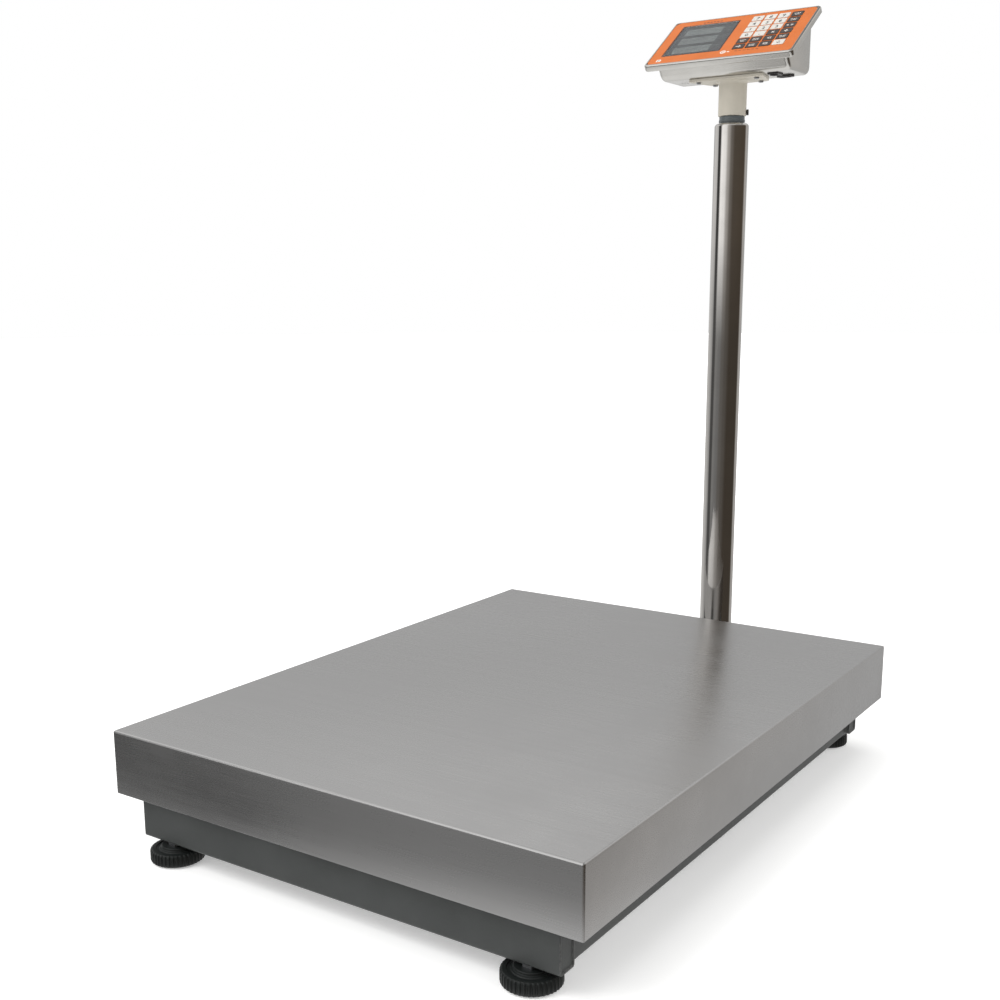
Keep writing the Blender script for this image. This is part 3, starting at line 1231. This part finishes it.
surround = back_block("rear_surround", frame_half.x, frame_half.z, back_y - 0.0001, glass_high.y, 0.004)
round_off(0.0005, 3, lambda m, e: m.y > glass_high.y - sliver)
pick("FACE", lambda m, f: f.normal.y < -0.99)
inset(0.0034)
draw_out(0, -0.0060, 0)
close_up(surround)
lens_half = (frame_half.x - inner, frame_half.z - inner)
opening = close_up(back_block("rear_opening", *lens_half, back_y - 0.009, glass_high.y + 0.001, 0.0015))
cut_away(surround, [opening])
wear(surround, display_plastic)
lens = back_block("rear_lens", *lens_half, back_y - 0.0012, back_y + 0.0002, 0.0015)
round_off(0.0003, 2, lambda m, e: m.y > back_y + 0.00019)
wear(close_up(lens), window_lens)
rear_backing = back_block("rear_backing", *lens_half, back_y - 0.0060, back_y - 0.0052, 0.0015)
wear(close_up(rear_backing), mask_ink)
for piece, slot in ((surround, "display_plastic"), (lens, "window_lens"),
                    (rear_backing, "display_plastic")):
    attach(piece, "head")
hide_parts("rear_display")

# ---- Floor, light and camera ----
# A pale studio floor, a soft key light from the front left, a fill from the right, and walls whose
# light and dark parts show as broad reflections in the steel.

deselect()
bpy.ops.mesh.primitive_circle_add(vertices=96, radius=14, fill_type="TRIFAN", location=(0, 0, 0))
floor = bpy.context.object
floor.name = "studio_floor"
pale, tree, shader = finish("studio_paper", (0.90, 0.90, 0.895), 0.0, 0.9)
mottle = noise(tree, place_in(tree), 3.0, 4)
wire(tree, blend_colour(tree, mottle, (0.89, 0.89, 0.885), (0.915, 0.915, 0.91)), (shader, "Base Color"))
away = tree.nodes.new("ShaderNodeVectorMath")
away.operation = "LENGTH"
wire(tree, place_in(tree), (away, 0))
distance = spread(tree, (away, "Value"), 0.7, 2.2, 0, 1)
wire(tree, blend_colour(tree, distance, (0.34, 0.34, 0.34), (1.0, 1.0, 1.0)), (shader, "Emission Color"))
shader.inputs["Emission Strength"].default_value = 1.0
shader.inputs["Specular IOR Level"].default_value = 0.1
wear(floor, pale)
floor.visible_glossy = False

world = bpy.data.worlds.new("studio")
bpy.context.scene.world = world
world.use_nodes = True
tree = world.node_tree
backdrop = tree.nodes["Background"]
direction = tree.nodes.new("ShaderNodeTexCoord")
parts = tree.nodes.new("ShaderNodeSeparateXYZ")
wire(tree, (direction, "Generated"), (parts, 0))
compass = sums(tree, "ARCTAN2", (parts, 0), sums(tree, "MULTIPLY", (parts, 1), -1))
round_trip = sums(tree, "ADD", sums(tree, "DIVIDE", compass, 2 * math.pi), 0.5)


def grey(level, warmth=0.0):
    """A grey that leans to brown"""
    return (level * (1 + warmth), level, level * (1 - warmth))


def studio_ring(stops):
    """Light round the horizon: (degrees from the front towards the right, grey, warmth)"""
    ramp = tree.nodes.new("ShaderNodeValToRGB")
    wire(tree, round_trip, (ramp, "Fac"))
    bar = ramp.color_ramp
    bar.interpolation = "EASE"
    while len(bar.elements) < len(stops):
        bar.elements.new(0.5)
    for element, (degrees, level, warmth) in zip(bar.elements, sorted(stops)):
        element.position = degrees / 360 + 0.5
        element.color = (*grey(level, warmth), 1)
    return (ramp, "Color")


high = studio_ring([(-179, 0.48, 0), (-130, 0.50, 0), (-108, 0.85, 0), (-78, 0.80, 0), (-66, 0.06, 0),
                    (-52, 0.06, 0), (-40, 1.35, 0), (-14, 1.20, 0), (8, 0.50, 0.04), (30, 0.18, 0.1),
                    (52, 0.09, 0.2), (128, 0.08, 0.25), (148, 0.60, 0.03), (166, 0.48, 0)])
low = studio_ring([(-179, 0.80, 0), (-130, 0.74, 0), (-100, 0.66, 0), (-80, 0.50, 0), (-62, 0.10, 0),
                   (-48, 0.10, 0), (-38, 0.28, 0), (-12, 0.22, 0), (10, 0.15, 0.06), (34, 0.11, 0.1),
                   (60, 0.06, 0.2), (128, 0.06, 0.2), (148, 0.56, 0.03), (164, 0.50, 0)])
above = spread(tree, (parts, 2), 0.0, 0.10, 0, 1)
ring = blend_colour(tree, above, low, high)
floor_glow = spread(tree, (parts, 2), -0.78, -0.52, 1, 0)
ring = blend_colour(tree, floor_glow, ring, grey(0.92))
sky = spread(tree, (parts, 2), 0.28, 0.80, 0, 1)
ring = blend_colour(tree, sky, ring, grey(1.0))
zenith = spread(tree, (parts, 2), 0.68, 0.78, 0, 1)
top = studio_ring([(-179, 0.25, 0), (-152, 0.25, 0), (-134, 0.55, 0), (-110, 0.70, 0), (-60, 0.95, 0),
                   (-14, 0.95, 0), (12, 0.30, 0), (170, 0.25, 0)])
ring = blend_colour(tree, zenith, ring, top)
seen = tree.nodes.new("ShaderNodeLightPath")
ring = blend_colour(tree, (seen, "Is Camera Ray"), ring, (1.0, 1.0, 1.0))
wire(tree, ring, (backdrop, "Color"))
backdrop.inputs["Strength"].default_value = 1.0


def soft_light(name, size, power, place, target, colour=(1, 1, 1)):
    """A soft box that lights the object without showing in it"""
    lamp = bpy.data.lights.new(name, "AREA")
    lamp.shape = "DISK"
    lamp.size = size
    lamp.energy = power
    lamp.color = colour
    light = bpy.data.objects.new(name, lamp)
    bpy.context.scene.collection.objects.link(light)
    light.location = place
    light.rotation_euler = (Vector(target) - Vector(place)).to_track_quat("-Z", "Y").to_euler()
    light.visible_glossy = False
    return light


soft_light("key_light", 2.4, 60, (-1.3, -2.0, 2.8), (0, 0, 0.3))
soft_light("fill_light", 3.0, 40, (2.8, 0.6, 2.2), (0, 0.1, 0.3))
soft_light("top_light", 3.2, 40, (0.0, 0.6, 3.6), (0, 0, 0))

lens = bpy.data.cameras.new("camera")
lens.sensor_width = 36
lens.lens = 46.59
lens.shift_x = 0.01295
lens.shift_y = 0.05592
camera = bpy.data.objects.new("camera", lens)
bpy.context.scene.collection.objects.link(camera)
right = Vector((0.82509791, 0.56496713, -0.00505779))
up = Vector((-0.11401001, 0.17525873, 0.97789882))
back = right.cross(up)
turned_to = Matrix((right, up, back)).transposed().to_4x4()
camera.matrix_world = Matrix.Translation((0.80765, -1.36187, 0.62694)) @ turned_to
bpy.context.scene.camera = camera
bpy.context.scene.view_settings.view_transform = "Standard"

bpy.context.view_layer.update()
